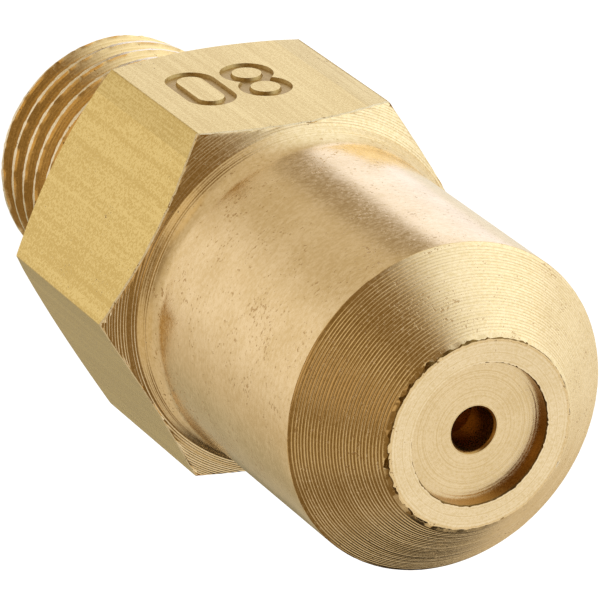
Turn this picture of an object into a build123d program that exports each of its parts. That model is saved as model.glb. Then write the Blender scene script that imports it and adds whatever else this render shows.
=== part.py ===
from build123d import *
import os
from math import acos, radians, sin, sqrt, tan

# Oil burner nozzle: a turned brass body with a hexagon and an external thread, which holds an
# orifice disc, a swirl distributor, an anti-drip valve and an inlet strainer.
# Millimetres. +Z points out of the nose, along the spray. The origin is on the axis, in the plane
# of the seat shoulder behind the hexagon. The stamped flat of the hexagon faces -Y.

# Driving dimensions: outside of the body
HEX_ACROSS_FLATS = 14.0
HEX_FRONT_Z = 9.0
HEX_FRONT_FACE_R = 6.86
HEX_REAR_FACE_R = 6.7
HEX_CHAMFER_DEG = 30.0
HEX_EDGE_R = 0.18
BARREL_R = 6.4
COLLAR_R = 6.61
COLLAR_Z = 9.42
COLLAR_FILLET_R = 1.5
CONE_REAR_Z = 20.5
NOSE_Z = 23.2
NOSE_LAND_R = BARREL_R - (NOSE_Z - CONE_REAR_Z)

# Driving dimensions: inlet thread, M10 x 1, and the seat shoulder
THREAD_R = 5.0
THREAD_PITCH = 1.0
THREAD_DEPTH = 0.6134 * THREAD_PITCH
THREAD_CREST_FLAT = THREAD_PITCH / 8
THREAD_FLANK_DEG = 30.0
THREAD_END_Z = -7.8
THREAD_END_CHAMFER = 0.35
RELIEF_R = 4.3
RELIEF_LENGTH = 1.3
SHOULDER_UNDERCUT_R = 5.3
SHOULDER_UNDERCUT_DEPTH = 0.15

# Driving dimensions: bores of the body
NOSE_OPENING_R = 2.75
DISC_SHOULDER_Z = 21.9
FRONT_BORE_R = 3.25
REAR_BORE_R = 3.6
REAR_BORE_STEP_Z = 7.2
FIT_GAP = 0.02

# How far a cutting tool reaches past the surface that it opens
TOOL_CLEAR = 0.5

# Driving dimensions: size mark on one flat
MARK_HEIGHT = 3.6
MARK_WIDTH = 1.9
MARK_STROKE = 0.42
MARK_PITCH = 2.35
MARK_CENTRE_X = 0.65
MARK_CENTRE_Z = 4.1
MARK_DEPTH = 0.12

# Driving dimensions: orifice disc and swirl distributor
ORIFICE_R = 0.85
DISC_FACE_Z = 22.7
DISC_REAR_Z = 19.2
SWIRL_CONE_R = 2.6
SWIRL_THROAT_R = 1.1
DISTRIBUTOR_TIP_R = 1.3
DISTRIBUTOR_RIM_R = 3.15
DISTRIBUTOR_RIM_FRONT_Z = 18.4
DISTRIBUTOR_RIM_REAR_Z = 17.0
DISTRIBUTOR_BOSS_R = 1.6
SWIRL_SLOTS = 4
SWIRL_SLOT_WIDTH = 0.4
SWIRL_SLOT_DEPTH = 0.35
SWIRL_SLOT_OFFSET = 0.75
SWIRL_CONE_DEG = 45.0
PASSAGE_WIDTH = 1.1
PASSAGE_DEPTH = 0.55

# Driving dimensions: lock screw and valve
LOCK_SCREW_FRONT_Z = 16.4
LOCK_SCREW_REAR_Z = 12.9
OIL_HOLE_R = 0.45
OIL_HOLE_CIRCLE_R = 2.35
OIL_HOLES = 4
DRIVER_SLOT_WIDTH = 0.9
DRIVER_SLOT_DEPTH = 0.8
VALVE_TRAVEL = 0.8
STEM_END_GAP = 0.05
STEM_END_CHAMFER = 0.2
STEM_R = 0.8
STEM_GUIDE_R = 0.85
STEM_GUIDE_END_Z = 15.9
POPPET_R = 2.2
POPPET_HEAD_FRONT_Z = 9.3
POPPET_SEAL_R = 1.95
POPPET_SEAL_THICKNESS = 0.6
POPPET_SEAL_STAND_OUT = 0.1
SEAT_LIP_Z = 7.5
SEAT_LIP_R = 1.6
SEAT_LIP_TAPER = 0.3
SEAT_BORE_R = 1.2
SEAT_REAR_Z = 5.8
WASHER_THICKNESS = 0.2
WASHER_R = 1.65
WASHER_BORE_R = 0.95
SPRING_WIRE_R = 0.17
SPRING_MEAN_R = 1.35
SPRING_TURNS = 5

# Driving dimensions: seal rings, adapter and strainer
SEAL_SECTION_R = 0.3
ADAPTER_GROOVE_OFFSET = 1.0
ADAPTER_NOTCH_LENGTH = 0.68
ADAPTER_NOTCH_DEPTH = 0.7
ADAPTER_REAR_Z = 2.9
ADAPTER_BORE_R = 1.2
SPIGOT_R = 1.9
SPIGOT_REAR_Z = 1.4
CORE_R = 2.2
MESH_R = 2.4
CAP_R = 2.65
CAP_REAR_Z = -7.3
CAP_FLOOR = 0.5
CAP_RIM_Z = -5.9
CAP_CHAMFER = 0.3
CORE_HOLE_R = 0.5
CORE_HOLE_ROWS = 5
CORE_HOLES_ROUND = 6
CORE_HOLE_PITCH = 1.45


def cone_drop(outer_r, inner_r):
    """Height that the hexagon's chamfer cone covers between two radii."""
    return (outer_r - inner_r) * tan(radians(HEX_CHAMFER_DEG))


# ---------------------------------------------------------------- threaded shank of the body
groove_root_r = THREAD_R - THREAD_DEPTH
groove_start_z = THREAD_END_Z - THREAD_PITCH
groove_half_width = (THREAD_PITCH - THREAD_CREST_FLAT) / 2
groove_outer_half = groove_half_width + TOOL_CLEAR * tan(radians(THREAD_FLANK_DEG))
groove_root_half = groove_half_width - THREAD_DEPTH * tan(radians(THREAD_FLANK_DEG))

with BuildPart() as threaded_shank:
    with BuildSketch(Plane.XY.offset(THREAD_END_Z)):
        Circle(THREAD_R)
    extrude(amount=-THREAD_END_Z)
    # Helical groove, which runs in from the end and out into the relief neck
    with BuildLine() as groove_path:
        Helix(
            pitch=THREAD_PITCH,
            height=-groove_start_z - RELIEF_LENGTH / 2,
            radius=groove_root_r,
            center=(0, 0, groove_start_z),
        )
    with BuildSketch(Plane.XZ):
        Polygon(
            (groove_root_r, groove_start_z - groove_root_half),
            (THREAD_R + TOOL_CLEAR, groove_start_z - groove_outer_half),
            (THREAD_R + TOOL_CLEAR, groove_start_z + groove_outer_half),
            (groove_root_r, groove_start_z + groove_root_half),
            align=None,
        )
    sweep(path=groove_path.wires()[0], is_frenet=True, mode=Mode.SUBTRACT)
    # Relief neck under the shoulder, and the end chamfer
    with BuildSketch(Plane.XZ):
        Polygon(
            (RELIEF_R, TOOL_CLEAR),
            (THREAD_R + TOOL_CLEAR, TOOL_CLEAR),
            (THREAD_R + TOOL_CLEAR, TOOL_CLEAR - RELIEF_LENGTH),
            (RELIEF_R, THREAD_R - RELIEF_R - RELIEF_LENGTH),
            align=None,
        )
        Polygon(
            (THREAD_R - THREAD_END_CHAMFER - TOOL_CLEAR, THREAD_END_Z - TOOL_CLEAR),
            (THREAD_R + TOOL_CLEAR, THREAD_END_Z - TOOL_CLEAR),
            (THREAD_R + TOOL_CLEAR, THREAD_END_Z + THREAD_END_CHAMFER + TOOL_CLEAR),
            align=None,
        )
    revolve(axis=Axis.Z, mode=Mode.SUBTRACT)

# ---------------------------------------------------------------- nozzle body
hex_cutoff_r = HEX_ACROSS_FLATS / sqrt(3) + TOOL_CLEAR
collar_arc_dr = COLLAR_R - BARREL_R
collar_arc_turn = acos(1 - collar_arc_dr / COLLAR_FILLET_R)
barrel_start_z = COLLAR_Z + COLLAR_FILLET_R * sin(collar_arc_turn)

with BuildPart() as nozzle_body:
    # Hexagon with rounded edges, cut back by a chamfer cone at each end
    with BuildSketch(Plane.XY):
        RegularPolygon(HEX_ACROSS_FLATS / 2, 6, major_radius=False)
    extrude(amount=HEX_FRONT_Z)
    fillet(nozzle_body.edges().filter_by(Axis.Z), HEX_EDGE_R)
    with BuildSketch(Plane.XZ):
        Polygon(
            (0, 0),
            (HEX_REAR_FACE_R, 0),
            (hex_cutoff_r, cone_drop(hex_cutoff_r, HEX_REAR_FACE_R)),
            (hex_cutoff_r, HEX_FRONT_Z - cone_drop(hex_cutoff_r, HEX_FRONT_FACE_R)),
            (HEX_FRONT_FACE_R, HEX_FRONT_Z),
            (0, HEX_FRONT_Z),
            align=None,
        )
    revolve(axis=Axis.Z, mode=Mode.INTERSECT)
    # Barrel and nose cone, joined to the hexagon by a tapered collar and a fillet
    with BuildSketch(Plane.XZ):
        with BuildLine():
            Polyline(
                (BARREL_R, barrel_start_z),
                (BARREL_R, CONE_REAR_Z),
                (NOSE_LAND_R, NOSE_Z),
                (0, NOSE_Z),
                (0, HEX_FRONT_Z),
                (HEX_FRONT_FACE_R, HEX_FRONT_Z),
                (COLLAR_R, COLLAR_Z),
            )
            RadiusArc((COLLAR_R, COLLAR_Z), (BARREL_R, barrel_start_z), COLLAR_FILLET_R)
        make_face()
    revolve(axis=Axis.Z)
    add(threaded_shank.part)
    # Ring undercut round the neck, which keeps the seat face clear of the thread's crests
    with BuildSketch(Plane.XY):
        Circle(SHOULDER_UNDERCUT_R)
        Circle(RELIEF_R, mode=Mode.SUBTRACT)
    extrude(amount=SHOULDER_UNDERCUT_DEPTH, mode=Mode.SUBTRACT)
    # Stepped bore: nose opening, front bore and rear bore
    with BuildSketch(Plane.XZ):
        Polygon(
            (0, THREAD_END_Z - TOOL_CLEAR),
            (REAR_BORE_R, THREAD_END_Z - TOOL_CLEAR),
            (REAR_BORE_R, REAR_BORE_STEP_Z),
            (FRONT_BORE_R, REAR_BORE_STEP_Z),
            (FRONT_BORE_R, DISC_SHOULDER_Z),
            (NOSE_OPENING_R, DISC_SHOULDER_Z),
            (NOSE_OPENING_R, NOSE_Z + TOOL_CLEAR),
            (0, NOSE_Z + TOOL_CLEAR),
            align=None,
        )
    revolve(axis=Axis.Z, mode=Mode.SUBTRACT)
    # Size mark: an eight made of two rings, and a nought
    mark_plane = Plane(
        origin=(MARK_CENTRE_X, -HEX_ACROSS_FLATS / 2, MARK_CENTRE_Z),
        x_dir=(1, 0, 0),
        z_dir=(0, -1, 0),
    )
    eight_ring_r = (MARK_HEIGHT + MARK_STROKE) / 4
    with BuildSketch(mark_plane):
        with Locations((-MARK_PITCH / 2, 0)):
            with Locations((0, eight_ring_r - MARK_STROKE / 2), (0, MARK_STROKE / 2 - eight_ring_r)):
                Circle(eight_ring_r)
                Circle(eight_ring_r - MARK_STROKE, mode=Mode.SUBTRACT)
        with Locations((MARK_PITCH / 2, 0)):
            SlotOverall(MARK_HEIGHT, MARK_WIDTH, rotation=90)
            SlotOverall(
                MARK_HEIGHT - 2 * MARK_STROKE,
                MARK_WIDTH - 2 * MARK_STROKE,
                rotation=90,
                mode=Mode.SUBTRACT,
            )
    extrude(amount=-MARK_DEPTH, mode=Mode.SUBTRACT)
nozzle_body.part.label = "nozzle_body"

# ---------------------------------------------------------------- orifice disc
swirl_throat_z = DISC_REAR_Z + SWIRL_CONE_R - SWIRL_THROAT_R

with BuildPart() as orifice_disc:
    with BuildSketch(Plane.XZ):
        Polygon(
            (SWIRL_CONE_R, DISC_REAR_Z),
            (FRONT_BORE_R - FIT_GAP, DISC_REAR_Z),
            (FRONT_BORE_R - FIT_GAP, DISC_SHOULDER_Z),
            (NOSE_OPENING_R - FIT_GAP, DISC_SHOULDER_Z),
            (NOSE_OPENING_R - FIT_GAP, DISC_FACE_Z),
            (ORIFICE_R, DISC_FACE_Z),
            (ORIFICE_R, swirl_throat_z + SWIRL_THROAT_R - ORIFICE_R),
            (SWIRL_THROAT_R, swirl_throat_z),
            align=None,
        )
    revolve(axis=Axis.Z)
orifice_disc.part.label = "orifice_disc"

# ---------------------------------------------------------------- swirl distributor
distributor_tip_z = DISC_REAR_Z + SWIRL_CONE_R - DISTRIBUTOR_TIP_R
slot_centre_r = (SWIRL_CONE_R + DISTRIBUTOR_TIP_R) / 2
slot_centre_z = (DISC_REAR_Z + distributor_tip_z) / 2

with BuildPart() as swirl_distributor:
    with BuildSketch(Plane.XZ):
        Polygon(
            (0, LOCK_SCREW_FRONT_Z),
            (DISTRIBUTOR_BOSS_R, LOCK_SCREW_FRONT_Z),
            (DISTRIBUTOR_BOSS_R, DISTRIBUTOR_RIM_REAR_Z),
            (DISTRIBUTOR_RIM_R, DISTRIBUTOR_RIM_REAR_Z),
            (DISTRIBUTOR_RIM_R, DISTRIBUTOR_RIM_FRONT_Z),
            (SWIRL_CONE_R, DISTRIBUTOR_RIM_FRONT_Z),
            (SWIRL_CONE_R, DISC_REAR_Z),
            (DISTRIBUTOR_TIP_R, distributor_tip_z),
            (0, distributor_tip_z),
            align=None,
        )
    revolve(axis=Axis.Z)
    # Axial oil passages in the rim
    with PolarLocations(DISTRIBUTOR_RIM_R, SWIRL_SLOTS):
        with Locations((0, 0, (DISTRIBUTOR_RIM_REAR_Z + DISTRIBUTOR_RIM_FRONT_Z) / 2)):
            Box(
                2 * PASSAGE_DEPTH,
                PASSAGE_WIDTH,
                DISTRIBUTOR_RIM_FRONT_Z - DISTRIBUTOR_RIM_REAR_Z,
                mode=Mode.SUBTRACT,
            )
    # Slots down the cone, each beside the axis, which set the oil spinning
    with PolarLocations(slot_centre_r, SWIRL_SLOTS, start_angle=180 / SWIRL_SLOTS):
        with Locations((0, SWIRL_SLOT_OFFSET, slot_centre_z)):
            Box(
                2 * SWIRL_CONE_R,
                SWIRL_SLOT_WIDTH,
                2 * SWIRL_SLOT_DEPTH,
                rotation=(0, SWIRL_CONE_DEG, 0),
                mode=Mode.SUBTRACT,
            )
swirl_distributor.part.label = "swirl_distributor"

# ---------------------------------------------------------------- lock screw
with BuildPart() as lock_screw:
    with BuildSketch(Plane.XY.offset(LOCK_SCREW_REAR_Z)):
        Circle(FRONT_BORE_R - FIT_GAP)
        with PolarLocations(OIL_HOLE_CIRCLE_R, OIL_HOLES, start_angle=180 / OIL_HOLES):
            Circle(OIL_HOLE_R, mode=Mode.SUBTRACT)
    extrude(amount=LOCK_SCREW_FRONT_Z - LOCK_SCREW_REAR_Z)
    # Blind guide bore for the valve stem
    with BuildSketch(Plane.XY.offset(LOCK_SCREW_REAR_Z)):
        Circle(STEM_GUIDE_R)
    extrude(amount=STEM_GUIDE_END_Z - LOCK_SCREW_REAR_Z, mode=Mode.SUBTRACT)
    # Driver slot: two notches, one on each side of the spring washer
    notch_length = FRONT_BORE_R - WASHER_R
    with PolarLocations((FRONT_BORE_R + WASHER_R) / 2, 2):
        with Locations((0, 0, LOCK_SCREW_REAR_Z)):
            Box(notch_length, DRIVER_SLOT_WIDTH, 2 * DRIVER_SLOT_DEPTH, mode=Mode.SUBTRACT)
lock_screw.part.label = "lock_screw"

# ---------------------------------------------------------------- valve spring and its washer
washer_rear_z = LOCK_SCREW_REAR_Z - WASHER_THICKNESS
spring_start_z = POPPET_HEAD_FRONT_Z + SPRING_WIRE_R
spring_end_z = washer_rear_z - SPRING_WIRE_R

with BuildPart() as spring_washer:
    with BuildSketch(Plane.XY.offset(washer_rear_z)):
        Circle(WASHER_R)
        Circle(WASHER_BORE_R, mode=Mode.SUBTRACT)
    extrude(amount=WASHER_THICKNESS)
spring_washer.part.label = "spring_washer"

with BuildPart() as valve_spring:
    with BuildLine() as spring_path:
        Helix(
            pitch=(spring_end_z - spring_start_z) / SPRING_TURNS,
            height=spring_end_z - spring_start_z,
            radius=SPRING_MEAN_R,
            center=(0, 0, spring_start_z),
        )
    with BuildSketch(Plane(origin=spring_path.line @ 0, z_dir=spring_path.line % 0)):
        Circle(SPRING_WIRE_R)
    sweep(path=spring_path.wires()[0], is_frenet=True)
valve_spring.part.label = "valve_spring"

# ---------------------------------------------------------------- valve poppet and its seal
stem_end_z = STEM_GUIDE_END_Z - VALVE_TRAVEL - STEM_END_GAP

with BuildPart() as valve_poppet:
    with BuildSketch(Plane.XZ):
        Polygon(
            (0, SEAT_LIP_Z + POPPET_SEAL_THICKNESS),
            (POPPET_SEAL_R, SEAT_LIP_Z + POPPET_SEAL_THICKNESS),
            (POPPET_SEAL_R, SEAT_LIP_Z + POPPET_SEAL_STAND_OUT),
            (POPPET_R, SEAT_LIP_Z + POPPET_SEAL_STAND_OUT),
            (POPPET_R, POPPET_HEAD_FRONT_Z),
            (STEM_R, POPPET_HEAD_FRONT_Z),
            (STEM_R, stem_end_z - STEM_END_CHAMFER),
            (STEM_R - STEM_END_CHAMFER, stem_end_z),
            (0, stem_end_z),
            align=None,
        )
    revolve(axis=Axis.Z)
valve_poppet.part.label = "valve_poppet"

with BuildPart() as poppet_seal:
    with BuildSketch(Plane.XY.offset(SEAT_LIP_Z)):
        Circle(POPPET_SEAL_R)
    extrude(amount=POPPET_SEAL_THICKNESS)
poppet_seal.part.label = "poppet_seal"

# ---------------------------------------------------------------- valve seat and its seal ring
seat_r = REAR_BORE_R - FIT_GAP
seat_groove_z = (SEAT_REAR_Z + REAR_BORE_STEP_Z) / 2
seal_inner_r = seat_r - 2 * SEAL_SECTION_R

with BuildPart() as valve_seat:
    with BuildSketch(Plane.XZ):
        Polygon(
            (SEAT_BORE_R, SEAT_REAR_Z),
            (seat_r, SEAT_REAR_Z),
            (seat_r, seat_groove_z - SEAL_SECTION_R),
            (seal_inner_r, seat_groove_z - SEAL_SECTION_R),
            (seal_inner_r, seat_groove_z + SEAL_SECTION_R),
            (seat_r, seat_groove_z + SEAL_SECTION_R),
            (seat_r, REAR_BORE_STEP_Z),
            (SEAT_LIP_R + SEAT_LIP_TAPER, REAR_BORE_STEP_Z),
            (SEAT_LIP_R, SEAT_LIP_Z),
            (SEAT_BORE_R, SEAT_LIP_Z),
            align=None,
        )
    revolve(axis=Axis.Z)
valve_seat.part.label = "valve_seat"

with BuildPart() as seat_seal_ring:
    with BuildSketch(Plane.XZ):
        with Locations((seal_inner_r + SEAL_SECTION_R, seat_groove_z)):
            Circle(SEAL_SECTION_R)
    revolve(axis=Axis.Z)
seat_seal_ring.part.label = "seat_seal_ring"

# ---------------------------------------------------------------- strainer adapter and its seal ring
adapter_groove_z = SEAT_REAR_Z - ADAPTER_GROOVE_OFFSET

with BuildPart() as strainer_adapter:
    with BuildSketch(Plane.XZ):
        Polygon(
            (ADAPTER_BORE_R, SPIGOT_REAR_Z),
            (SPIGOT_R, SPIGOT_REAR_Z),
            (SPIGOT_R, ADAPTER_REAR_Z),
            (seat_r, ADAPTER_REAR_Z),
            (seat_r, adapter_groove_z - SEAL_SECTION_R),
            (seal_inner_r, adapter_groove_z - SEAL_SECTION_R),
            (seal_inner_r, adapter_groove_z + SEAL_SECTION_R),
            (seat_r, adapter_groove_z + SEAL_SECTION_R),
            (seat_r, SEAT_REAR_Z),
            (ADAPTER_BORE_R, SEAT_REAR_Z),
            align=None,
        )
    revolve(axis=Axis.Z)
    # Two notches for the driver that screws the adapter in
    with PolarLocations(seat_r, 2):
        with Locations((0, 0, ADAPTER_REAR_Z)):
            Box(
                2 * ADAPTER_NOTCH_LENGTH,
                DRIVER_SLOT_WIDTH,
                2 * ADAPTER_NOTCH_DEPTH,
                mode=Mode.SUBTRACT,
            )
strainer_adapter.part.label = "strainer_adapter"

with BuildPart() as adapter_seal_ring:
    with BuildSketch(Plane.XZ):
        with Locations((seal_inner_r + SEAL_SECTION_R, adapter_groove_z)):
            Circle(SEAL_SECTION_R)
    revolve(axis=Axis.Z)
adapter_seal_ring.part.label = "adapter_seal_ring"

# ---------------------------------------------------------------- strainer
cap_floor_z = CAP_REAR_Z + CAP_FLOOR
core_middle_z = (cap_floor_z + SPIGOT_REAR_Z) / 2

with BuildPart() as strainer_core:
    with BuildSketch(Plane.XY.offset(cap_floor_z)):
        Circle(CORE_R)
        Circle(SPIGOT_R, mode=Mode.SUBTRACT)
    extrude(amount=ADAPTER_REAR_Z - cap_floor_z)
    # Rows of round windows, every second row turned by half a pitch
    for row in range(CORE_HOLE_ROWS):
        row_z = core_middle_z + (row - (CORE_HOLE_ROWS - 1) / 2) * CORE_HOLE_PITCH
        row_turn = (row % 2) * 180 / CORE_HOLES_ROUND
        with PolarLocations(CORE_R, CORE_HOLES_ROUND, start_angle=row_turn):
            with Locations((0, 0, row_z)):
                Cylinder(CORE_HOLE_R, CORE_R, rotation=(0, 90, 0), mode=Mode.SUBTRACT)
strainer_core.part.label = "strainer_core"

with BuildPart() as strainer_mesh:
    with BuildSketch(Plane.XY.offset(cap_floor_z)):
        Circle(MESH_R)
        Circle(CORE_R, mode=Mode.SUBTRACT)
    extrude(amount=ADAPTER_REAR_Z - cap_floor_z)
strainer_mesh.part.label = "strainer_mesh"

with BuildPart() as strainer_end_cap:
    with BuildSketch(Plane.XZ):
        Polygon(
            (0, CAP_REAR_Z),
            (CAP_R - CAP_CHAMFER, CAP_REAR_Z),
            (CAP_R, CAP_REAR_Z + CAP_CHAMFER),
            (CAP_R, CAP_RIM_Z),
            (MESH_R, CAP_RIM_Z),
            (MESH_R, cap_floor_z),
            (0, cap_floor_z),
            align=None,
        )
    revolve(axis=Axis.Z)
strainer_end_cap.part.label = "strainer_end_cap"

# ---------------------------------------------------------------- files
os.makedirs("parts", exist_ok=True)
export_step(nozzle_body.part, "parts/nozzle_body.step")
export_step(orifice_disc.part, "parts/orifice_disc.step")
export_step(swirl_distributor.part, "parts/swirl_distributor.step")
export_step(lock_screw.part, "parts/lock_screw.step")
export_step(spring_washer.part, "parts/spring_washer.step")
export_step(valve_spring.part, "parts/valve_spring.step")
export_step(valve_poppet.part, "parts/valve_poppet.step")
export_step(poppet_seal.part, "parts/poppet_seal.step")
export_step(valve_seat.part, "parts/valve_seat.step")
export_step(seat_seal_ring.part, "parts/seat_seal_ring.step")
export_step(strainer_adapter.part, "parts/strainer_adapter.step")
export_step(adapter_seal_ring.part, "parts/adapter_seal_ring.step")
export_step(strainer_core.part, "parts/strainer_core.step")
export_step(strainer_mesh.part, "parts/strainer_mesh.step")
export_step(strainer_end_cap.part, "parts/strainer_end_cap.step")
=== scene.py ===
import math
import random

import bmesh
import bpy
from mathutils import Euler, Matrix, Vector


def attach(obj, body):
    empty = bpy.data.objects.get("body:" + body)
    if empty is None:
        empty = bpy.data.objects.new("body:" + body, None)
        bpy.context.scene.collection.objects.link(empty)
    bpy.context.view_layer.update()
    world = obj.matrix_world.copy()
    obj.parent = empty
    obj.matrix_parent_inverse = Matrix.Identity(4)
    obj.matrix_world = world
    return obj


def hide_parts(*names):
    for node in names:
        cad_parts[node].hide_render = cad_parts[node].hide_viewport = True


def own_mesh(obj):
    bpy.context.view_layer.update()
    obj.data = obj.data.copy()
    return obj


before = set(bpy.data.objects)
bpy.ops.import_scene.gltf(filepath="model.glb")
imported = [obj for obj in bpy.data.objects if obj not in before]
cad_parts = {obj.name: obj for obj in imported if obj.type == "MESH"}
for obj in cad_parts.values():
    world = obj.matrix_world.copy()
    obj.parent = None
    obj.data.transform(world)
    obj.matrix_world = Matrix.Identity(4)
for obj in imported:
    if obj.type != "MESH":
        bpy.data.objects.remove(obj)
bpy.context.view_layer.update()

# Looks of the oil burner nozzle. Blender's unit is the metre; sizes below are in millimetres and
# are turned into metres by MM. Heights and radii are the CAD model's own, but for the strokes of
# the size mark, the spring's turns and closed ends, the gauze's wires, the cap's rounded edges and
# dish, and the burrs and ridges left by turning.
MM = 0.001

# ------------------------------------------------------------------ sizes of the body
HEX_HALF_FLATS = 7.0
HEX_EDGE_R = 0.18
HEX_FRONT_Z = 9.0
HEX_FRONT_FACE_R = 6.86
HEX_REAR_FACE_R = 6.7
TAN_30 = math.tan(math.radians(30))
HEX_CHAMFER = TAN_30
UNDERCUT_R = 5.3
UNDERCUT_DEPTH = 0.15
COLLAR_R = 6.61
COLLAR_Z = 9.42
COLLAR_FILLET_R = 1.5
BARREL_R = 6.4
CONE_REAR_Z = 20.5
NOSE_Z = 23.2
LAND_R = BARREL_R - (NOSE_Z - CONE_REAR_Z)
OPENING_R = 2.75
SHOULDER_Z = 21.9
FRONT_BORE_R = 3.25
REAR_BORE_R = 3.6
BORE_STEP_Z = 7.2
THREAD_R = 5.0
PITCH = 1.0
THREAD_DEPTH = 0.6134
CREST_FLAT = PITCH / 8
THREAD_FLANK = TAN_30
END_Z = -7.8
END_CHAMFER = 0.35
NECK_R = 4.3
NECK_LENGTH = 1.3
NECK_END_Z = THREAD_R - NECK_R - NECK_LENGTH

# Orifice disc and strainer; columns are steps round the axis
ORIFICE_R = 0.85
DISC_FACE_Z = 22.7
DISC_REAR_Z = 19.2
SWIRL_CONE_R = 2.6
SWIRL_THROAT_R = 1.1
ADAPTER_REAR_Z = 2.9
CORE_R = 2.2
MESH_R = 2.4
WIRE_R = 0.045
CAP_R = 2.65
CAP_REAR_Z = -7.3
CAP_FLOOR_Z = -6.8
CAP_RIM_Z = -5.9
DISC_COLUMNS = 144
CAP_COLUMNS = 96
GAUZE_WIRES = 36

# Valve spring, between the poppet's head and the washer
SPRING_FRONT_Z = 12.7
SPRING_REAR_Z = 9.3
SPRING_R = 1.35
SPRING_WIRE_R = 0.17
SPRING_TURNS = 5.5  # the CAD's open coil has 5
SPRING_CLOSED_SHARE = 0.16

# A narrow facet along one side of each flat, left by the drawing die
FACET_FROM_CORNER_DEG = 5.5
FACET_TILT_DEG = 2.2

# Size mark on the -Y flat, and the part of that flat that it is stamped in, from its middle
MARK_HEIGHT = 3.6
MARK_WIDTH = 1.9
MARK_STROKE = 0.37  # narrower than the CAD's 0.42
MARK_PITCH = 2.35
MARK_CENTRE_X = 0.65
MARK_CENTRE_Z = 4.1
MARK_DEPTH = 0.12
MARK_DRAFT = 0.05
MARK_PANEL_DEG = (-20, 26)

# Points of a turned piece closer than this are one point
WELD = 0.0002

# Torn places round a burred edge, and the side of the land that is torn most
BURRS = 240
BURR_SIDE = math.radians(-10)

# The hexagon's front edge: how far its burr reaches, what share of that is below the edge, and
# the bevel beside it
HEX_BURR = 0.11
HEX_BURR_BELOW = 0.4
BEVEL_WIDTH = 0.03
BEVEL_DROP = 0.06
BEVEL_BURR = 0.05

# How far the edges of the thread's crest stray: the size of each wave, and the limits towards the
# middle of the crest and towards the root
CREST_WANDER = 0.016
CREST_WANDER_LIMITS = (-0.05, 0.03)

# Edges steeper than this are sharp, in degrees
TURNED_SHARP = 32
GAUZE_SHARP = 60
SPRING_SHARP = 40

# Camera
LENS_MM = 342
SENSOR_MM = 36
CAMERA_PLACE = (91.1, -83.77, 185.66)
CAMERA_TURN_DEG = (-23.196, -27.025, -179.335)

# ------------------------------------------------------------------ material regions of the body
BARREL, CONE, LAND, EDGE, CHAMFER, FLATS, FACET, THREAD, CREST, BORE, WALL, MARK, RIM = range(13)


# ------------------------------------------------------------------ camera
def make_camera():
    """The camera at the photographed angle, with a long lens."""
    data = bpy.data.cameras.new("camera")
    data.lens = LENS_MM
    data.sensor_width = SENSOR_MM
    data.clip_start = 0.01
    data.clip_end = 10
    camera = bpy.data.objects.new("camera", data)
    camera.location = Vector(CAMERA_PLACE) * MM
    camera.rotation_euler = Euler([math.radians(a) for a in CAMERA_TURN_DEG])
    bpy.context.scene.collection.objects.link(camera)
    bpy.context.scene.camera = camera
    return camera


# ------------------------------------------------------------------ shapes
def facet_radius(off_flat):
    """Radius of the narrow die facet, which turns a little away from the flat beside one corner."""
    tilt = math.radians(FACET_TILT_DEG)
    start = math.radians(30 - FACET_FROM_CORNER_DEG)
    if off_flat > -start:
        return math.inf
    reach = HEX_HALF_FLATS * (math.cos(tilt) + math.tan(start) * math.sin(tilt))
    return reach / math.cos(off_flat + tilt)


def hex_radius(turn):
    """Radius of the hexagon at an angle in radians; corners lie at 0, 60, ... degrees."""
    off_flat = math.radians(math.degrees(turn) % 60 - 30)
    return min(rounded_hex_radius(off_flat), facet_radius(off_flat))


def rounded_hex_radius(off_flat):
    """Radius of the round-edged hexagon at an angle from the middle of a flat."""
    off_corner = math.radians(30) - abs(off_flat)
    centre_r = (HEX_HALF_FLATS - HEX_EDGE_R) / math.cos(math.radians(30))
    tangent_angle = math.atan((HEX_HALF_FLATS - HEX_EDGE_R) * TAN_30 / HEX_HALF_FLATS)
    if abs(off_flat) <= tangent_angle:
        return HEX_HALF_FLATS / math.cos(off_flat)
    across = centre_r * math.sin(off_corner)
    return centre_r * math.cos(off_corner) + math.sqrt(HEX_EDGE_R**2 - across**2)


def column_angles():
    """Angles of the body's columns: close together round each hexagon edge, even on the flats."""
    near_corner = [0.0, 0.22, 0.44, 0.66, 0.95]
    flat_steps = 32
    first = near_corner[-1]
    span = 60 - 2 * first
    sector = near_corner[:-1] + [first + span * i / flat_steps for i in range(flat_steps + 1)]
    sector += [60 - a for a in reversed(near_corner[1:-1])]
    return [math.radians(60 * k + a) for k in range(6) for a in sector] + [math.tau]


def turned_line(start, end, pitch, depth, seed, uneven=0.2, shallowest=0.3):
    """Points from start to end in the (radius, z) plane: flat cuts with narrow ridges between."""
    rng = random.Random(seed)
    first = Vector(start)
    along = Vector(end) - first
    inward = Vector((along.y, -along.x)).normalized()
    if inward.x > 0 or (inward.x == 0 and inward.y > 0):
        inward = -inward
    steps = [rng.uniform(1 - uneven, 1 + uneven) for _ in range(round(along.length / pitch))]
    unit = along.length / sum(steps)
    points = [first]
    place = 0.0
    for step in steps:
        cut = depth * rng.uniform(shallowest, 1.0)
        for share, level in ((0.22, 1.0), (0.78, 1.0), (1.0, 0.0)):
            reached = (place + step * share) * unit
            points.append(first + along.normalized() * reached + inward * cut * level)
        place += step
    return [(p.x, p.y) for p in points]


def crest_wander(wound):
    """How far the edge of the thread's crest strays at an angle wound along the helix."""
    waves = ((7.3, 0.4), (23.7, 1.9), (51.1, 0.7), (83.3, 2.6))
    wander = CREST_WANDER * sum(math.sin(rate * wound + shift) for rate, shift in waves)
    lowest, highest = CREST_WANDER_LIMITS
    return min(max(wander, lowest), highest)


def thread_limit(z):
    """Radius that the end chamfer and the relief neck leave at a height."""
    chamfer = THREAD_R - END_CHAMFER + (z - END_Z)
    neck = NECK_R + max(0.0, NECK_END_Z - z)
    return min(chamfer, neck)


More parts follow.
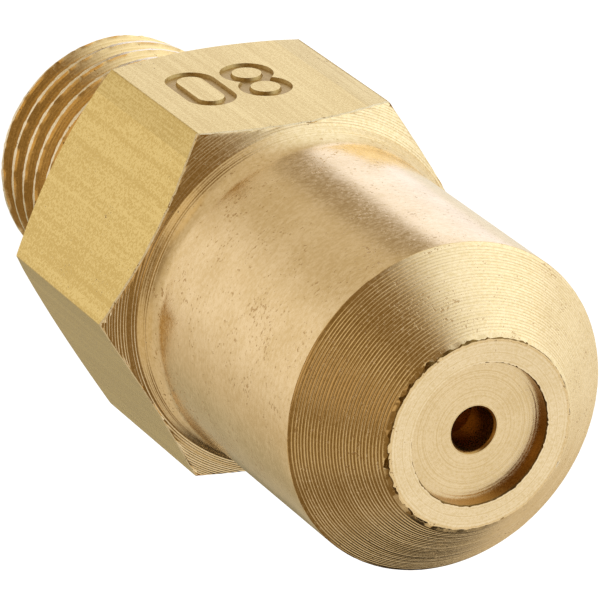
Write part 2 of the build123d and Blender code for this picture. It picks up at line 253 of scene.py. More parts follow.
def thread_radius(z, turn):
    """Radius of the thread's surface."""
    phase = (z - END_Z) / PITCH - 0.5 - turn / math.tau
    off_crest = abs(phase - round(phase)) * PITCH
    radius = THREAD_R - max(0.0, off_crest - CREST_FLAT / 2) / THREAD_FLANK
    return min(max(radius, THREAD_R - THREAD_DEPTH), thread_limit(z))


def body_rows():
    """Rows of the body from the nose land out, back over the hexagon and thread, up the bore.

    Each row is (region of the strip that follows it, function from angle to (radius, z)).
    """
    rows = []
    burr = random.Random(3)
    torn = []
    while len(torn) < BURRS:
        worst = burr.uniform(0.25, 1.0)
        torn += [worst * burr.random() for _ in range(burr.randrange(3, 9))]

    def torn_share(turn):
        return torn[int(turn / math.tau * BURRS) % BURRS]

    def ring(region, radius, z):
        rows.append((region, lambda turn: (radius, z)))

    def ragged(region, radius, z, out, up, offset=0, one_sided=False):
        """A ring whose radius and height wander from column to column, as a burr does."""
        def place(turn):
            share = torn_share(turn + offset)
            if one_sided:
                share *= 0.3 + 0.7 * max(0.0, math.cos(turn - BURR_SIDE))
            return radius + out * share, z + up * share
        rows.append((region, place))

    def line(region, points):
        for radius, z in points:
            ring(region, radius, z)

    # Nose land, its rounded and burred outer edge, and the cone
    land_z = NOSE_Z - 0.02
    # WALL strips are painted dark brown: painted shade in the recess and under the burr
    ragged(WALL, OPENING_R + 0.01, land_z - 0.06, 0.04, 0.0)
    ragged(LAND, OPENING_R + 0.02, land_z - 0.01, 0.06, 0.01)
    line(LAND, turned_line((OPENING_R + 0.12, land_z), (LAND_R - 0.16, land_z), 0.11, 0.004, 11))
    ragged(EDGE, LAND_R - 0.12, land_z, 0.04, 0.01)
    # The burr's torn underside takes the wall's dark look, painted shade on the side away from the
    # light
    ragged(WALL, LAND_R - 0.04, land_z - 0.01, 0.16, 0.03, one_sided=True)
    ragged(CONE, LAND_R - 0.02, NOSE_Z - 0.08, 0.26, -0.06, offset=2, one_sided=True)
    cone_points = turned_line(
        (LAND_R + 0.15, NOSE_Z - 0.17), (BARREL_R - 0.05, CONE_REAR_Z + 0.05), 0.122, 0.0135, 5,
        uneven=0.1, shallowest=0.7,
    )
    line(CONE, cone_points)
    ragged(EDGE, BARREL_R - 0.02, CONE_REAR_Z + 0.01, 0.015, 0.0)
    ragged(BARREL, BARREL_R, CONE_REAR_Z - 0.01, -0.012, 0.0)
    # Barrel, fillet and collar
    fillet_turn = math.acos(1 - (COLLAR_R - BARREL_R) / COLLAR_FILLET_R)
    barrel_start = COLLAR_Z + COLLAR_FILLET_R * math.sin(fillet_turn)
    for i in range(13):
        ring(BARREL, BARREL_R, CONE_REAR_Z - 0.06 + (barrel_start - CONE_REAR_Z + 0.06) * i / 12)
    for i in range(1, 7):
        swept = fillet_turn * i / 6
        ring(
            BARREL,
            BARREL_R + COLLAR_FILLET_R * (1 - math.cos(swept)),
            barrel_start - COLLAR_FILLET_R * math.sin(swept),
        )
    line(CHAMFER, turned_line((COLLAR_R, COLLAR_Z), (HEX_FRONT_FACE_R, HEX_FRONT_Z), 0.1, 0.008, 9))

    # Front chamfer of the hexagon: circles that stop where they meet the flats
    def front_edge_z(turn, limit):
        burr_z = HEX_BURR * (torn_share(turn) - HEX_BURR_BELOW)
        return HEX_FRONT_Z - (limit - HEX_FRONT_FACE_R) * HEX_CHAMFER + burr_z

    def bevel(turn):
        inner = hex_radius(turn) - BEVEL_WIDTH
        return inner, front_edge_z(turn, inner)

    def clipped(region, radius, z, face_r, face_z, slope):
        def place(turn):
            limit = hex_radius(turn)
            if slope < 0:
                if radius < limit - BEVEL_WIDTH:
                    return radius, z
                return bevel(turn)
            if radius < limit:
                return radius, z
            return limit, face_z + slope * (limit - face_r)
        rows.append((region, place))

    widest = HEX_HALF_FLATS / math.cos(math.radians(30))
    drop = (widest - HEX_FRONT_FACE_R) * HEX_CHAMFER
    for radius, z in turned_line(
        (HEX_FRONT_FACE_R, HEX_FRONT_Z), (widest, HEX_FRONT_Z - drop), 0.1, 0.010, 21, 0.12, 0.6
    )[1:]:
        clipped(CHAMFER, radius, z, HEX_FRONT_FACE_R, HEX_FRONT_Z, -HEX_CHAMFER)
    # Flats, with a thin burred bevel along their front edges
    # The bevel takes the rim look, paler cream as a painted highlight
    rows.append((RIM, bevel))
    flat_rows = 12
    for i in range(flat_rows + 1):
        share = i / flat_rows

        def place(turn, share=share):
            limit = hex_radius(turn)
            front = front_edge_z(turn, limit) - BEVEL_DROP - BEVEL_BURR * torn_share(turn + 1)
            rear = (limit - HEX_REAR_FACE_R) * HEX_CHAMFER
            return limit, front + (rear - front) * share
        rows.append((FLATS, place))
    # Rear chamfer, seat face, undercut and neck
    rise = (widest - HEX_REAR_FACE_R) * HEX_CHAMFER
    for radius, z in turned_line((widest, rise), (HEX_REAR_FACE_R, 0.0), 0.2, 0.014, 22)[:-1]:
        clipped(CHAMFER, radius, z, HEX_REAR_FACE_R, 0.0, HEX_CHAMFER)
    line(LAND, turned_line((HEX_REAR_FACE_R, 0.0), (UNDERCUT_R, 0.0), 0.2, 0.008, 23))
    ring(LAND, UNDERCUT_R, UNDERCUT_DEPTH)
    ring(LAND, NECK_R + 0.1, UNDERCUT_DEPTH)
    ring(LAND, NECK_R, UNDERCUT_DEPTH - 0.1)
    ring(THREAD, NECK_R, NECK_END_Z)
    # Thread: the rows follow the helix and stop at the neck and at the end face
    half_flat = CREST_FLAT / 2
    turns = int(math.ceil(NECK_END_Z - END_Z)) + 1
    shares = [0.0, 0.16, 0.21, 0.58, 1.0]
    one_side = [(half_flat + THREAD_DEPTH * THREAD_FLANK * share, share) for share in shares]
    steps = [(-half_flat, 0.0), (0.0, 0.0)] + one_side + [(0.5, 1.0)]
    steps += [(1 - off, share) for off, share in reversed(one_side[1:])]
    for k in range(turns, -3, -1):
        for off, share in reversed(steps):
            edge = math.copysign(1, off) if off and share == 0.0 else 0

            def place(turn, k=k, off=off, share=share, edge=edge):
                z = END_Z + PITCH * (k + 0.5 + off + turn / math.tau)
                z += edge * (0.02 + crest_wander(k * math.tau + turn))
                if END_Z < z < NECK_END_Z:
                    return min(THREAD_R - THREAD_DEPTH * share, thread_limit(z)), z
                z = min(max(z, END_Z), NECK_END_Z)
                return thread_radius(z, turn), z
            rows.append((CREST if 0.0 <= off <= half_flat else THREAD, place))
    # End face and bore
    ring(THREAD, REAR_BORE_R + 0.15, END_Z)
    # The bore takes a darker look: painted shade inside the body
    ring(BORE, REAR_BORE_R, END_Z + 0.15)
    ring(BORE, REAR_BORE_R, BORE_STEP_Z)
    ring(BORE, FRONT_BORE_R, BORE_STEP_Z)
    ring(BORE, FRONT_BORE_R, SHOULDER_Z)
    ring(BORE, OPENING_R, SHOULDER_Z)
    # The recess wall takes the dark wall look, painted shade
    ring(WALL, OPENING_R, NOSE_Z - 0.1)
    return rows


def lathe(rows, angles, left_open=None):
    """A closed bmesh from rows that give (radius, z) at an angle. The last row joins the first.

    left_open, given a region and an angle, says where faces are left out.
    """
    work = bmesh.new()
    columns = []
    for turn in angles:
        points = [place(turn) for _, place in rows]
        columns.append([
            work.verts.new((r * math.cos(turn) * MM, r * math.sin(turn) * MM, z * MM))
            for r, z in points
        ])
    count = len(rows)
    for c in range(len(angles) - 1):
        middle = (angles[c] + angles[c + 1]) / 2
        for i in range(count):
            region = rows[i][0]
            if left_open and left_open(region, middle):
                continue
            # Faces near one corner of each flat take the facet look, painted darker as shade
            if region == FLATS and math.degrees(middle) % 60 < FACET_FROM_CORNER_DEG:
                region = FACET
            j = (i + 1) % count
            corners = (columns[c][i], columns[c][j], columns[c + 1][j], columns[c + 1][i])
            work.faces.new(corners).material_index = region
    bmesh.ops.delete(work, geom=[v for v in work.verts if not v.link_faces], context="VERTS")
    bmesh.ops.remove_doubles(work, verts=work.verts, dist=WELD * MM)
    bmesh.ops.dissolve_degenerate(work, edges=work.edges, dist=WELD * MM / 2)
    # Faces folded flat on each other, where rows run together
    by_corners = {}
    for face in work.faces:
        by_corners.setdefault(frozenset(face.verts), []).append(face)
    folded = [face for faces in by_corners.values() if len(faces) > 1 for face in faces]
    bmesh.ops.delete(work, geom=folded, context="FACES")
    return work


def finish_piece(name, work, materials, sharp_deg):
    """Turn a bmesh into an object, smooth but for region borders and edges over the angle."""
    bmesh.ops.recalc_face_normals(work, faces=work.faces)
    work.edges.index_update()
    borders = [
        edge.index for edge in work.edges
        if len({face.material_index for face in edge.link_faces}) > 1
    ]
    mesh = bpy.data.meshes.new(name)
    work.to_mesh(mesh)
    work.free()
    mesh.polygons.foreach_set("use_smooth", [True] * len(mesh.polygons))
    mesh.set_sharp_from_angle(angle=math.radians(sharp_deg))
    for index in borders:
        mesh.edges[index].use_edge_sharp = True
    for material in materials:
        mesh.materials.append(material)
    piece = bpy.data.objects.new(name, mesh)
    bpy.context.scene.collection.objects.link(piece)
    return piece


def even_angles(count):
    """Angles of count equal steps round the axis, with the first repeated at the end."""
    return [math.tau * i / count for i in range(count + 1)]


def mark_panel(region, turn):
    """True on the part of the -Y flat that the size mark is stamped in."""
    first, last = MARK_PANEL_DEG
    return region == FLATS and first < math.degrees(turn) - 270 < last


def arc(centre_x, centre_z, radius, first, last, steps):
    """Points along an arc between two angles in radians, both ends included."""
    return [
        (
            centre_x + radius * math.cos(first + (last - first) * i / steps),
            centre_z + radius * math.sin(first + (last - first) * i / steps),
        )
        for i in range(steps + 1)
    ]


def long_ring(x, half_width, half_height):
    """A round-ended upright loop; a circle where the halves are equal."""
    rise = half_height - half_width
    top = arc(x, rise, half_width, 0, math.pi, 24)
    bottom = arc(x, -rise, half_width, math.pi, math.tau, 24)
    return top + bottom


def mark_outlines(grow):
    """(outline, islands) of the eight and the nought, with strokes widened on each side by grow."""
    ring_r = (MARK_HEIGHT + MARK_STROKE) / 4
    lift = ring_r - MARK_STROKE / 2
    eight_x = -MARK_PITCH / 2
    outer_r = ring_r + grow
    waist = math.asin(lift / outer_r)
    eight = arc(eight_x, lift, outer_r, -waist, math.pi + waist, 32)[:-1]
    eight += arc(eight_x, -lift, outer_r, math.pi - waist, math.tau + waist, 32)[:-1]
    hole_r = ring_r - MARK_STROKE - grow
    holes = [arc(eight_x, z, hole_r, 0, math.tau, 32)[:-1] for z in (lift, -lift)]
    nought = long_ring(MARK_PITCH / 2, MARK_WIDTH / 2 + grow, MARK_HEIGHT / 2 + grow)
    inside = long_ring(
        MARK_PITCH / 2, MARK_WIDTH / 2 - MARK_STROKE - grow, MARK_HEIGHT / 2 - MARK_STROKE - grow
    )
    return [(eight, holes), (nought, [inside])]


def stamp(work):
    """Fill the open panel of the -Y flat, with the size mark stamped in it."""
    border = [
        edge for edge in work.edges
        if edge.is_boundary
        and all(abs(v.co.y / MM + HEX_HALF_FLATS) < WELD for v in edge.verts)
    ]

    def loop(points, depth):
        verts = [
            work.verts.new((
                (MARK_CENTRE_X + x) * MM,
                (-HEX_HALF_FLATS + depth) * MM,
                (MARK_CENTRE_Z + z) * MM,
            ))
            for x, z in points
        ]
        return verts, [work.edges.new((a, b)) for a, b in zip(verts, verts[1:] + verts[:1])]

    def fill(edges, region):
        made = bmesh.ops.triangle_fill(work, use_beauty=True, edges=edges, normal=(0, -1, 0))
        for item in made["geom"]:
            if isinstance(item, bmesh.types.BMFace):
                item.material_index = region

    def wall(upper, lower):
        for i in range(len(upper)):
            k = (i + 1) % len(upper)
            work.faces.new((upper[i], upper[k], lower[k], lower[i])).material_index = MARK

    surface_edges = list(border)
    for top, floor in zip(mark_outlines(MARK_DRAFT), mark_outlines(0.0)):
        top_verts, top_edges = loop(top[0], 0.0)
        floor_verts, floor_edges = loop(floor[0], MARK_DEPTH)
        wall(top_verts, floor_verts)
        surface_edges += top_edges
        for top_hole, floor_hole in zip(top[1], floor[1]):
            island, _ = loop(top_hole, 0.0)
            island_foot, island_edges = loop(floor_hole, MARK_DEPTH)
            wall(island, island_foot)
            floor_edges += island_edges
            work.faces.new(island).material_index = FLATS
        fill(floor_edges, MARK)
    fill(surface_edges, FLATS)


def plain_rows(points, region=0):
    """Rows of a turned piece with one region, from its outline in the (radius, z) plane."""
    return [(region, lambda turn, p=point: p) for point in points]


def disc_rows():
    """Rows of the orifice disc: lathe marks on its face (region 0) and the hole (region 1)."""
    throat_z = DISC_REAR_Z + SWIRL_CONE_R - SWIRL_THROAT_R
    bevel = [(ORIFICE_R, DISC_FACE_Z - 0.12), (ORIFICE_R + 0.03, DISC_FACE_Z - 0.05)]
    face = turned_line(
        (ORIFICE_R + 0.09, DISC_FACE_Z), (OPENING_R - 0.12, DISC_FACE_Z), 0.1, 0.0035, 31,
    )
    rim = [(OPENING_R + 0.005, DISC_FACE_Z), (OPENING_R - 0.02, SHOULDER_Z)]
    rim += [(FRONT_BORE_R - 0.02, SHOULDER_Z), (FRONT_BORE_R - 0.02, DISC_REAR_Z)]
    hole = [(SWIRL_CONE_R, DISC_REAR_Z), (SWIRL_THROAT_R, throat_z)]
    hole += [(ORIFICE_R, throat_z + SWIRL_THROAT_R - ORIFICE_R)]
    return plain_rows(bevel, 1) + plain_rows(face + rim) + plain_rows(hole, 1)


def cap_outline():
    """Outline of the strainer's pressed end cap: dished middle, rounded edge and rolled rim."""
    edge = arc(CAP_R - 0.3, CAP_REAR_Z + 0.3, 0.3, -math.pi / 2, 0, 6)
    rim_r = (CAP_R - MESH_R) / 2
    rim = arc(MESH_R + rim_r, CAP_RIM_Z - rim_r, rim_r, 0, math.pi, 6)
    dish = [(0.0, CAP_REAR_Z + 0.1), (1.1, CAP_REAR_Z + 0.1), (1.35, CAP_REAR_Z)]
    return dish + edge + rim + [(MESH_R, CAP_FLOOR_Z), (0.0, CAP_FLOOR_Z)]


def woven_tube(radius, wire_r, first_z, last_z, wires):
    """A tube of round wires wound both ways, each over and under the ones that it crosses."""
    work = bmesh.new()
    crossings = (last_z - first_z) * wires / (math.pi * radius)
    steps = int(crossings * 2)
    for hand in (1, -1):
        for wire in range(wires):
            previous = None
            for step in range(steps + 1):
                z = first_z + (last_z - first_z) * step / steps
                turn = math.tau * wire / wires + hand * z / radius
                middle = radius + hand * wire_r * math.cos(z * wires / radius)
                ring = []
                for dr, dz in ((wire_r, 0), (0, wire_r), (-wire_r, 0), (0, -wire_r)):
                    r = middle + dr
                    ring.append(work.verts.new((
                        r * math.cos(turn) * MM,
                        r * math.sin(turn) * MM,
                        (z + dz) * MM,
                    )))
                if previous:
                    for i in range(4):
                        k = (i + 1) % 4
                        work.faces.new((previous[i], previous[k], ring[k], ring[i]))
                else:
                    work.faces.new(ring)
                previous = ring
            work.faces.new(previous)
    return work


def coil_spring():
    """The valve spring: round wire, closed end coils and end faces ground flat."""
    work = bmesh.new()
    steps_per_turn = 48
    sides = 12
    steps = int(SPRING_TURNS * steps_per_turn)
    rise = SPRING_FRONT_Z - SPRING_REAR_Z - 1.2 * SPRING_WIRE_R
    closed = SPRING_CLOSED_SHARE
    previous = None
    for step in range(steps + 1):
        share = step / steps
        # The end coils rise slowly, the working coils evenly
        if share < closed:
            lift = 0.5 * share
        elif share > 1 - closed:
            lift = 1 - 0.5 * (1 - share)
        else:
            lift = 0.5 * closed + (share - closed) * (1 - closed) / (1 - 2 * closed)
        middle_z = SPRING_REAR_Z + 0.6 * SPRING_WIRE_R + rise * lift
        turn = math.tau * step / steps_per_turn
        ring = []
        for k in range(sides):
            round_wire = math.tau * k / sides
            r = SPRING_R + SPRING_WIRE_R * math.cos(round_wire)
            z = middle_z + SPRING_WIRE_R * math.sin(round_wire)
            z = min(max(z, SPRING_REAR_Z), SPRING_FRONT_Z)
            ring.append(work.verts.new((
                r * math.cos(turn) * MM,
                r * math.sin(turn) * MM,
                z * MM,
            )))
        if previous:
            for k in range(sides):
                nxt = (k + 1) % sides
                work.faces.new((previous[k], previous[nxt], ring[nxt], ring[k]))
        else:
            work.faces.new(ring)
        previous = ring
    work.faces.new(previous)
    return work


# ------------------------------------------------------------------ materials
class Nodes:
    """A short way to add and join shader nodes."""

    def __init__(self, tree):
        self.tree = tree
        tree.nodes.clear()

    def add(self, kind, settings=None, **inputs):
        node = self.tree.nodes.new(kind)
        for key, value in (settings or {}).items():
            setattr(node, key, value)
        for key, value in inputs.items():
            self.put(node, key.replace("_", " "), value)
        return node

    def put(self, node, key, value):
        socket = node.inputs[int(key)] if key.isdigit() else node.inputs[key]
        if isinstance(value, bpy.types.NodeSocket):
            self.tree.links.new(value, socket)
        else:
            socket.default_value = value

    def math(self, operation, a, b=0.0, c=0.0, clamp=False):
        node = self.add("ShaderNodeMath", {"operation": operation, "use_clamp": clamp})
        for index, value in enumerate((a, b, c)):
            self.put(node, str(index), value)
        return node.outputs[0]

    def ramp(self, value, low, high, out_low=0.0, out_high=1.0):
        node = self.add("ShaderNodeMapRange", {"interpolation_type": "SMOOTHSTEP"})
        for key, v in zip(("Value", "From Min", "From Max", "To Min", "To Max"),
                          (value, low, high, out_low, out_high)):
            self.put(node, key, v)
        return node.outputs[0]

    def mix(self, share, a, b):
        node = self.add("ShaderNodeMix", {"data_type": "RGBA"})
        self.put(node, "0", share)
        self.put(node, "6", a)
        self.put(node, "7", b)
        return node.outputs[2]

    def noise(self, vector, size_mm, detail=2.0, roughness=0.5, stretch=(1, 1, 1)):
        scaled = self.add("ShaderNodeVectorMath", {"operation": "MULTIPLY"})
        self.put(scaled, "0", vector)
        self.put(scaled, "1", tuple(s / (size_mm * MM) for s in stretch))
        node = self.add("ShaderNodeTexNoise", {"noise_dimensions": "3D"})
        self.put(node, "Vector", scaled.outputs[0])
        for key, value in (("Scale", 1.0), ("Detail", detail), ("Roughness", roughness)):
            self.put(node, key, value)
        return node.outputs[0]


def brass(name, tone, rough, lines, weights, pits, pit_size=0.12, dark=(0.34, 0.22, 0.08),
          grain=0.12, stretch=(1, 1, 1), anisotropy=0.0, round_axis=False):
    """Brass with uneven tone, fine grain, pits and the lines that turning or drawing leaves.

    lines is (kind, pitch in mm, height in mm): "ring" lines go round the axis, "thread" lines
    follow the flanks of the thread and "draw" lines run along Z. weights says how strongly broad
    clouds, fine grain and the lines show in the tone. A higher pits value leaves fewer pits.
    round_axis stretches grain and pits round the axis in place of along X.
    """
    material = bpy.data.materials.new(name)
    material.use_nodes = True
    n = Nodes(material.node_tree)
    place = n.add("ShaderNodeTexCoord").outputs["Object"]
    x, y, z = n.add("ShaderNodeSeparateXYZ", Vector=place).outputs
    radius = n.math("SQRT", n.math("ADD", n.math("MULTIPLY", x, x), n.math("MULTIPLY", y, y)))
    kind, pitch, height = lines
    if kind == "draw":
        streaks = n.noise(place, pitch, 3.0, 0.6, (1, 1, 0.02))
    else:
        along = radius if kind == "thread" else n.math("SUBTRACT", radius, z)
        streaks = n.noise(n.add("ShaderNodeCombineXYZ", X=along).outputs[0], pitch, 3.0, 0.6)
    spread = place
    if round_axis:
        arc_length = n.math("MULTIPLY", n.math("ARCTAN2", y, x), BARREL_R * MM)
        spread = n.add("ShaderNodeCombineXYZ", X=arc_length, Y=radius, Z=z).outputs[0]
    cloud = n.noise(place, 1.6, 3.0, 0.55)
    fine = n.noise(spread, grain, 3.0, 0.65, stretch)
    # Tone: each noise counts by its weight, about the middle of the range
    shade = 0.5
    for noise, weight in zip((cloud, fine, streaks), weights):
        off_middle = n.math("MULTIPLY", n.math("SUBTRACT", noise, 0.5), weight)
        shade = n.math("ADD", off_middle, shade)
    worn = tuple(c * level for c, level in zip(tone, (0.80, 0.75, 0.62)))
    colour = n.mix(n.ramp(shade, 0.25, 0.75), worn + (1,), tone + (1,))
    # Pits stand in clusters
    pit_noise = n.noise(spread, pit_size, 2.0, 0.5, stretch)
    cluster = n.math("MULTIPLY", n.math("SUBTRACT", n.noise(place, 1.3, 2.0, 0.5), 0.5), 0.45)
    pit_mask = n.ramp(n.math("ADD", pit_noise, cluster), pits, pits + 0.12)
    colour = n.mix(pit_mask, colour, dark + (1,))
    roughness = n.ramp(fine, 0.3, 0.7, rough - 0.05, rough + 0.05)
    roughness = n.math("ADD", roughness, n.math("MULTIPLY", pit_mask, 0.1))
    # Height in metres
    relief = n.math("MULTIPLY", streaks, height * MM)
    relief = n.math("ADD", relief, n.math("MULTIPLY", fine, 0.003 * MM))
    relief = n.math("SUBTRACT", relief, n.math("MULTIPLY", pit_mask, 0.005 * MM))
    bump = n.add("ShaderNodeBump", Height=relief, Strength=1.0, Distance=1.0)
    shader = n.add("ShaderNodeBsdfPrincipled", Base_Color=colour, Metallic=1.0, Roughness=roughness,
                   Normal=bump.outputs[0], Anisotropic=anisotropy)
    if anisotropy:
        tangent = n.add("ShaderNodeTangent", {"direction_type": "RADIAL", "axis": "Z"})
        n.put(shader, "Tangent", tangent.outputs[0])
    output = n.add("ShaderNodeOutputMaterial")
    n.tree.links.new(shader.outputs[0], output.inputs[0])
    return material


def plain(name, colour, rough, metallic=0.0):
    """Rubber or steel with a fine uneven tone."""
    material = bpy.data.materials.new(name)
    material.use_nodes = True
    n = Nodes(material.node_tree)
    place = n.add("ShaderNodeTexCoord").outputs["Object"]
    fine = n.noise(place, 0.2, 3.0, 0.6)
    tint = n.mix(n.ramp(fine, 0.3, 0.7), tuple(c * 0.75 for c in colour) + (1,), colour + (1,))
    roughness = n.ramp(fine, 0.3, 0.7, rough - 0.08, rough + 0.08)
    bump = n.add("ShaderNodeBump", Height=n.math("MULTIPLY", fine, 0.004 * MM), Distance=1.0)
    shader = n.add("ShaderNodeBsdfPrincipled", Base_Color=tint, Metallic=metallic,
                   Roughness=roughness, Normal=bump.outputs[0])
    output = n.add("ShaderNodeOutputMaterial")
    n.tree.links.new(shader.outputs[0], output.inputs[0])
    return material


# ------------------------------------------------------------------ studio
def studio_world(camera, base, panels):
    """Studio surroundings, placed as seen from the camera at rest.

    Each panel is (aim, degrees within which it is full, degrees beyond which it is gone, colour).
    The camera itself sees plain white.
    """
    world = bpy.data.worlds.new("studio")
    bpy.context.scene.world = world
    world.use_nodes = True
    n = Nodes(world.node_tree)
    direction = n.add("ShaderNodeTexCoord").outputs["Generated"]
    colour = base + (1,)
    turn = camera.rotation_euler.to_matrix()
    for aim, inner_deg, outer_deg, panel in panels:
        centre = (turn @ Vector(aim)).normalized()
        dot = n.add("ShaderNodeVectorMath", {"operation": "DOT_PRODUCT"})
        n.put(dot, "0", direction)
        n.put(dot, "1", tuple(centre))
        share = n.ramp(dot.outputs["Value"], math.cos(math.radians(outer_deg)),
                       math.cos(math.radians(inner_deg)))
        colour = n.mix(share, colour, panel + (1,))
    lit = n.add("ShaderNodeBackground", Color=colour, Strength=1.0)
    seen = n.add("ShaderNodeBackground", Color=(1, 1, 1, 1), Strength=1.0)
    path = n.add("ShaderNodeLightPath")
    both = n.add("ShaderNodeMixShader")
    n.put(both, "0", path.outputs["Is Camera Ray"])
    n.put(both, "1", lit.outputs[0])
    n.put(both, "2", seen.outputs[0])
    output = n.add("ShaderNodeOutputWorld")
    n.tree.links.new(both.outputs[0], output.inputs[0])


def make_softbox(name, camera, aim, distance, size, power):
    """A square soft light towards aim, as seen from the camera at rest. Sizes are in metres."""
    data = bpy.data.lights.new(name, "AREA")
    data.size = size
    data.energy = power
    data.color = (1.0, 0.97, 0.92)
    light = bpy.data.objects.new(name, data)
    direction = (camera.rotation_euler.to_matrix() @ Vector(aim)).normalized()
    light.location = Vector((0, 0, 0.008)) + direction * distance
    light.rotation_euler = direction.to_track_quat("Z", "Y").to_euler()
    bpy.context.scene.collection.objects.link(light)


def make_floor():
    """A plain white floor under the inlet end, which the brass doesn't reflect."""
    half = 1.5
    z = END_Z * MM
    mesh = bpy.data.meshes.new("floor")
    corners = [(-half, -half, z), (half, -half, z), (half, half, z), (-half, half, z)]
    mesh.from_pydata(corners, [], [(0, 1, 2, 3)])
    floor = bpy.data.objects.new("floor", mesh)
    bpy.context.scene.collection.objects.link(floor)
    material = bpy.data.materials.new("floor_white")
    material.use_nodes = True
    shader = material.node_tree.nodes["Principled BSDF"]
    shader.inputs["Base Color"].default_value = (0.25, 0.25, 0.25, 1)
    shader.inputs["Roughness"].default_value = 0.9
    shader.inputs["Emission Color"].default_value = (1, 1, 1, 1)
    shader.inputs["Emission Strength"].default_value = 1.0
    mesh.materials.append(material)
    floor.visible_glossy = False
    floor.visible_diffuse = False


# ------------------------------------------------------------------ the scene
camera = make_camera()
bpy.context.scene.view_settings.view_transform = "Standard"

TONE = (1.0, 0.81, 0.50)
FLAT_TONE = (0.90, 0.71, 0.29)
THREAD_TONE = (1.0, 0.77, 0.41)
SOFT_PIT = (0.66, 0.46, 0.22)
ROUND = (0.65, 1, 1)
looks = {
    BARREL: brass("brass_barrel", TONE, 0.20, ("ring", 0.12, 0.001), (0.5, 0.9, 0.15), 0.64,
                  pit_size=0.11, dark=SOFT_PIT, stretch=ROUND, round_axis=True),
    CONE: brass("brass_cone", TONE, 0.20, ("ring", 0.06, 0.002), (0.2, 1.0, 0.35), 0.64,
                dark=SOFT_PIT, stretch=ROUND, round_axis=True, anisotropy=0.3),
    LAND: brass("brass_land", TONE, 0.26, ("ring", 0.06, 0.005), (0.3, 0.9, 1.0), 0.70,
                dark=SOFT_PIT, anisotropy=0.3),
    # Burred edges of the land and cone: real pits, whose dark brown also stands for painted shade
    # on the burr's shadow side
    EDGE: brass("brass_edge_pits_and_painted_shade", (0.92, 0.70, 0.38), 0.26, ("ring", 0.06, 0.004), (0.3, 0.9, 0.6),
                0.62, dark=(0.30, 0.17, 0.05)),
    CHAMFER: brass("brass_chamfer", TONE, 0.20, ("ring", 0.06, 0.003), (0.2, 1.0, 0.5), 0.72,
                   anisotropy=0.3),
    FLATS: brass("brass_flats", FLAT_TONE, 0.26, ("draw", 0.24, 0.003), (0.3, 3.8, 1.5), 0.70,
                 pit_size=0.1, grain=0.1),
    # Die facet: a tenth darker than the flats, painted shade for the darker band it reflects
    FACET: brass("brass_facet_painted_shade", tuple(c * 0.9 for c in FLAT_TONE), 0.26, ("draw", 0.08, 0.006),
                 (0.3, 2.8, 1.6), 0.74, grain=0.1),
    THREAD: brass("brass_thread", THREAD_TONE, 0.22, ("thread", 0.06, 0.006),
                  (0.0, 0.6, 2.0), 0.70),
    # Thread crests: paler cream than the flanks, a painted highlight
    CREST: brass("brass_crest_painted_highlight", (1.0, 0.90, 0.68), 0.26, ("ring", 0.1, 0.002),
                 (0.3, 1.2, 0.2), 0.66),
    # Bore and orifice hole: darker brown than the outside, painted shade inside them
    BORE: brass("brass_bore_painted_shade", (0.52, 0.31, 0.10), 0.30, ("ring", 0.15, 0.003),
                (0.4, 0.8, 0.5), 0.74),
    # Recess wall and burr underside: dark brown, painted shade where shade falls
    WALL: brass("brass_wall_painted_shade", (0.26, 0.16, 0.05), 0.34, ("ring", 0.1, 0.003),
                (0.4, 1.5, 0.5), 0.60),
    MARK: brass("brass_mark", (0.62, 0.46, 0.20), 0.40, ("draw", 0.1, 0.002),
                (0.4, 1.5, 0.3), 0.75),
    # Bevel along the hexagon's front edge: paler cream, a painted highlight along the edge
    RIM: brass("brass_rim_painted_highlight", (1.0, 0.88, 0.62), 0.28, ("ring", 0.1, 0.002), (0.3, 1.6, 0.2), 0.60,
               dark=(0.40, 0.26, 0.10)),
}
inner_look = brass("brass_inner", (0.80, 0.60, 0.30), 0.30, ("ring", 0.15, 0.003),
                   (0.4, 0.8, 0.5), 0.74)
# Disc face: a little darker than the body, partly its own tone and partly painted shade from the
# recess around it
disc_look = brass("brass_disc_tone_and_painted_shade", (0.94, 0.74, 0.43), 0.28, ("ring", 0.07, 0.003),
                  (0.4, 0.9, 1.3), 0.72, dark=SOFT_PIT)

body_work = lathe(body_rows(), column_angles(), mark_panel)
stamp(body_work)
body_looks = [looks[region] for region in sorted(looks)]
body = finish_piece("nozzle_body_turned", body_work, body_looks, TURNED_SHARP)
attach(body, "nozzle")
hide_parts("nozzle_body")

steel = plain("spring_steel", (0.55, 0.55, 0.56), 0.3, 1.0)
rubber = plain("seal_rubber", (0.03, 0.03, 0.03), 0.6)

disc_work = lathe(disc_rows(), even_angles(DISC_COLUMNS))
disc = finish_piece("orifice_disc_turned", disc_work, [disc_look, looks[BORE]], TURNED_SHARP)
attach(disc, "nozzle")
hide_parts("orifice_disc")

cap_work = lathe(plain_rows(cap_outline()), even_angles(CAP_COLUMNS))
cap = finish_piece("strainer_cap_pressed", cap_work, [inner_look], TURNED_SHARP)
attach(cap, "nozzle")
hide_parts("strainer_end_cap")

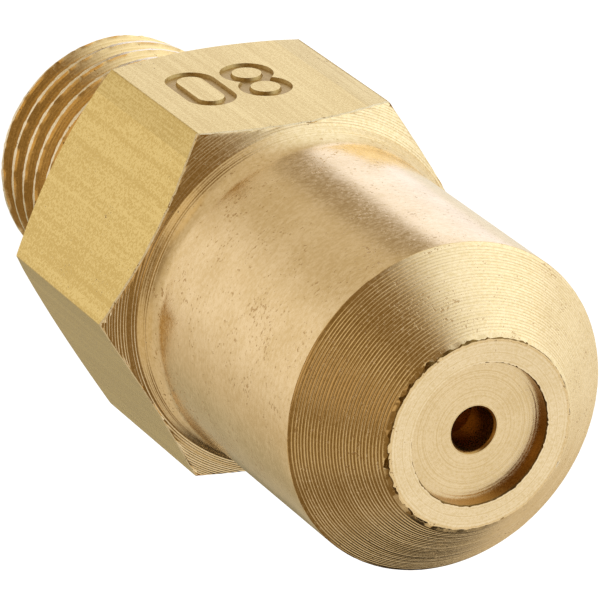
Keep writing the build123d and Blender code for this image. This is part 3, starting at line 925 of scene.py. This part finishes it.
wires = woven_tube(
    (CORE_R + MESH_R) / 2, WIRE_R, CAP_FLOOR_Z + WIRE_R, ADAPTER_REAR_Z - WIRE_R, GAUZE_WIRES
)
gauze = finish_piece("strainer_gauze_woven", wires, [steel], GAUZE_SHARP)
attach(gauze, "nozzle")
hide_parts("strainer_mesh")

spring = finish_piece("valve_spring_wound", coil_spring(), [steel], SPRING_SHARP)
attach(spring, "nozzle")
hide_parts("valve_spring")
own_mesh(spring)

for node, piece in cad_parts.items():
    if node in ("spring_washer", "valve_spring"):
        look = steel
    elif node.endswith("_seal") or node.endswith("_seal_ring"):
        look = rubber
    else:
        look = inner_look
    piece.data.materials.clear()
    piece.data.materials.append(look)

make_floor()
make_softbox("softbox_right", camera, (0.86, 0.51, 0.10), distance=0.6, size=0.4, power=0.10)
make_softbox("softbox_left", camera, (-0.88, 0.30, -0.30), distance=0.6, size=0.3, power=0.01)
studio_world(camera, (0.64, 0.55, 0.43), [
    ((-0.05, -0.20, 0.98), 50, 78, (0.22, 0.135, 0.05)),
    ((0.86, 0.51, 0.00), 30, 68, (1.10, 1.15, 1.20)),
    ((0.45, 0.25, -0.86), 25, 50, (0.93, 0.89, 0.80)),
    ((0.05, -0.80, -0.60), 14, 29, (0.03, 0.02, 0.01)),
    ((-0.32, -0.94, 0.00), 16, 26, (0.18, 0.11, 0.04)),
    ((-0.30, -0.20, -0.93), 10, 30, (0.46, 0.41, 0.30)),
    ((-0.08, -0.12, -0.99), 3, 9, (0.25, 0.22, 0.14)),
    ((0.10, 0.62, -0.78), 15, 21, (1.17, 1.17, 1.36)),
    ((-0.14, 0.79, -0.59), 4, 11, (0.40, 0.32, 0.23)),
    ((-0.88, 0.30, -0.38), 8, 32, (0.85, 0.77, 0.69)),
    ((0.76, -0.58, 0.30), 15, 46, (0.90, 0.88, 0.88)),
    ((-0.48, -0.19, 0.86), 6, 22, (0.60, 0.43, 0.24)),
    ((-0.66, 0.42, 0.62), 8, 20, (0.74, 0.60, 0.40)),
    ((-0.82, -0.54, 0.20), 10, 22, (0.62, 0.50, 0.33)),
    ((0.19, -0.96, -0.19), 3, 10, (0.60, 0.50, 0.36)),
])
